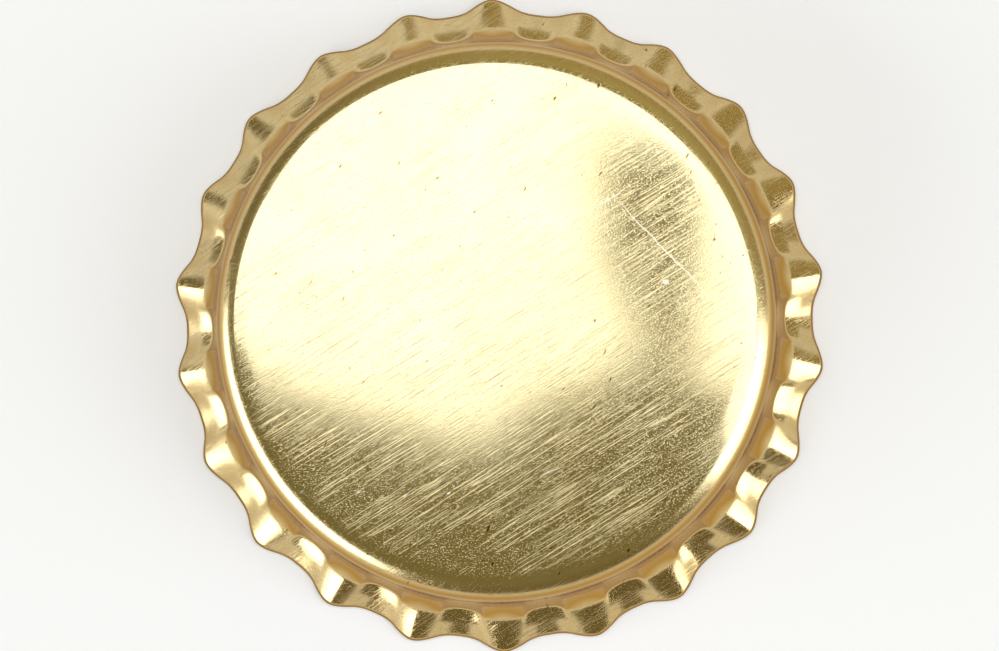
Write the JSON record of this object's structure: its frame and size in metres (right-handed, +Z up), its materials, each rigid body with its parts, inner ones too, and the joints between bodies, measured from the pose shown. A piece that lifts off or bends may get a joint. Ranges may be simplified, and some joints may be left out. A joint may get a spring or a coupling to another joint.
{
  "type": "bottle cap",
  "caption": "Gold crown cap for a glass bottle: a slightly domed round panel with a rounded shoulder, a fluted skirt that flares to the rim and a sealing liner inside.",
  "frame": {"origin": "middle of the rim, on the plane that the cap stands on", "axes": "+Z up through the panel, square to it; +Y and -Y each run through the tip of a flute"},
  "size_m": [0.0318, 0.032, 0.006],
  "materials": {
    "gold_lacquered_tinplate": "polished",
    "liner_compound": "satin"
  },
  "bodies": {
    "root": {"crown_shell": "gold_lacquered_tinplate", "sealing_liner": "liner_compound"}
  },
  "joints": []
}
